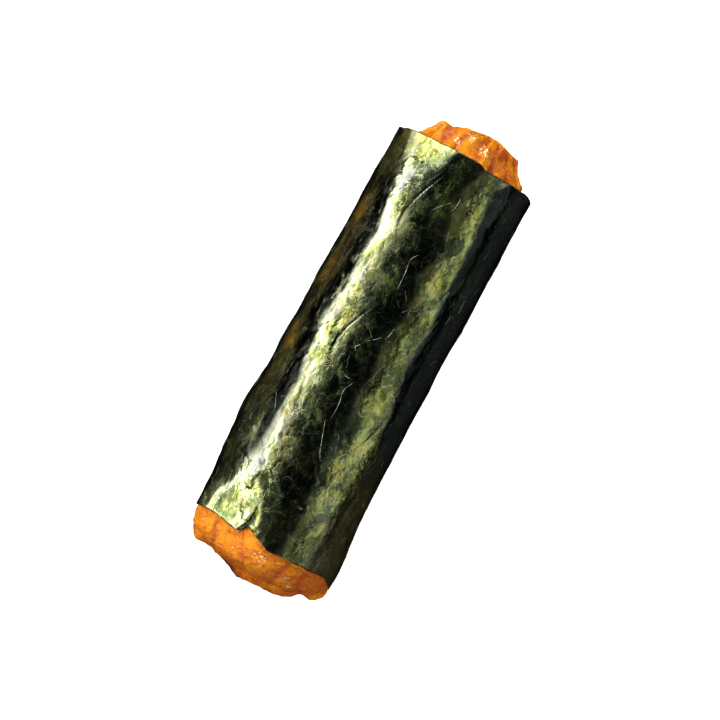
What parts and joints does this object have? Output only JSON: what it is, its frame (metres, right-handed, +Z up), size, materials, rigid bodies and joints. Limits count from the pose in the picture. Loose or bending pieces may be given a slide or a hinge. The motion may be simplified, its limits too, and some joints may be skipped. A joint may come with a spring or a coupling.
{
  "type": "nori-wrapped rice cracker",
  "caption": "Norimaki rice cracker: a round soy-glazed baked rice stick, lying on its side, in a band of dark nori that leaves both puffed ends bare.",
  "frame": {"origin": "on the plane that the roll rests on, under the middle of the whole cracker", "axes": "+X along the roll towards the gathered end, +Z up, +Y across the roll"},
  "size_m": [0.049, 0.0158, 0.0146],
  "materials": {
    "glazed_rice": "baked rice under a semi-gloss soy glaze, orange and toasted brown in patches",
    "nori": "pressed dried seaweed, nearly black green, with a satin sheen"
  },
  "bodies": {
    "root": {"rice_stick": "glazed_rice", "nori_band": "nori"}
  },
  "joints": []
}
